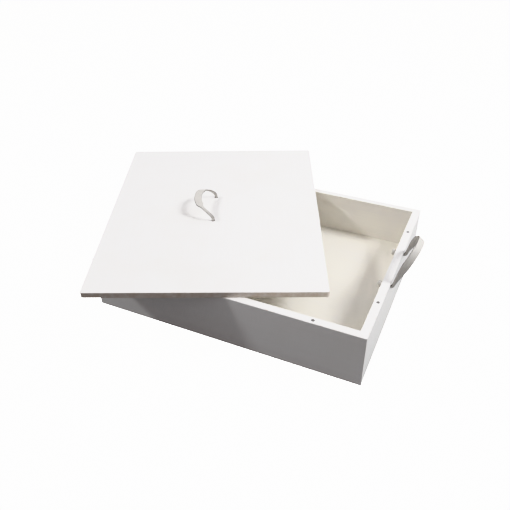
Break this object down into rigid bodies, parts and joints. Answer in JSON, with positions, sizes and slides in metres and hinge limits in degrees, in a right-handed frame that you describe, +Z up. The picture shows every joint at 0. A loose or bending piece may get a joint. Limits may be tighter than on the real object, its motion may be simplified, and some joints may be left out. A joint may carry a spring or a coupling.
{
  "type": "beehive feed box",
  "caption": "Shallow white hive box of painted boards with a loose flat lid lying across it, and leather strap handles on the lid and the end walls.",
  "frame": {"origin": "centre of the box's base, on the surface it stands on", "axes": "+X along the box's long side to the right, +Y across the box to the back, +Z up"},
  "size_m": [0.7036, 0.6384, 0.1661],
  "materials": {
    "paint": "satin white paint over planed boards",
    "bare_wood": "plain beech",
    "magnet": "dull nickel",
    "strap": "white leather, smooth face"
  },
  "bodies": {
    "box": {"front_wall": "paint", "back_wall": "paint", "left_wall": "paint", "right_wall": "paint", "floor_panel": "paint", "corner_pins_front_left": "bare_wood", "corner_pins_back_left": "bare_wood", "corner_pins_front_right": "bare_wood", "corner_pins_back_right": "bare_wood", "rim_magnets_front": "magnet", "rim_magnets_left": "magnet", "rim_magnets_right": "magnet", "left_handle_tongues": "strap", "left_handle_knots": "strap", "right_handle_tongues": "strap", "right_handle_knots": "strap"},
    "lid": {"lid_panel": "paint", "lid_magnets_front": "magnet", "lid_magnets_left": "magnet", "lid_magnets_right": "magnet", "lid_handle_tongues": "strap", "lid_handle_knots": "strap"},
    "lid_handle": {"lid_handle_strap": "strap"},
    "left_handle": {"left_handle_strap": "strap"},
    "right_handle": {"right_handle_strap": "strap"}
  },
  "joints": [
    {"name": "lid_lift", "type": "slide", "parent": "box", "child": "lid", "axis": [0, 0, 1], "range_m": [0, 0.2]},
    {"name": "lid_handle_swing", "type": "hinge", "parent": "lid", "child": "lid_handle", "pos_m": [-0.1214, 0.0259, 0.1188], "axis": [0.4035, -0.915, 0], "range_deg": [-108, 28]},
    {"name": "right_handle_swing", "type": "hinge", "parent": "box", "child": "right_handle", "pos_m": [0.2575, 0, 0.0945], "axis": [0, 1, 0], "range_deg": [-13, 142]},
    {"name": "left_handle_swing", "type": "hinge", "parent": "box", "child": "left_handle", "pos_m": [-0.2575, 0, 0.0945], "axis": [0, 1, 0], "range_deg": [-8, 68]}
  ]
}
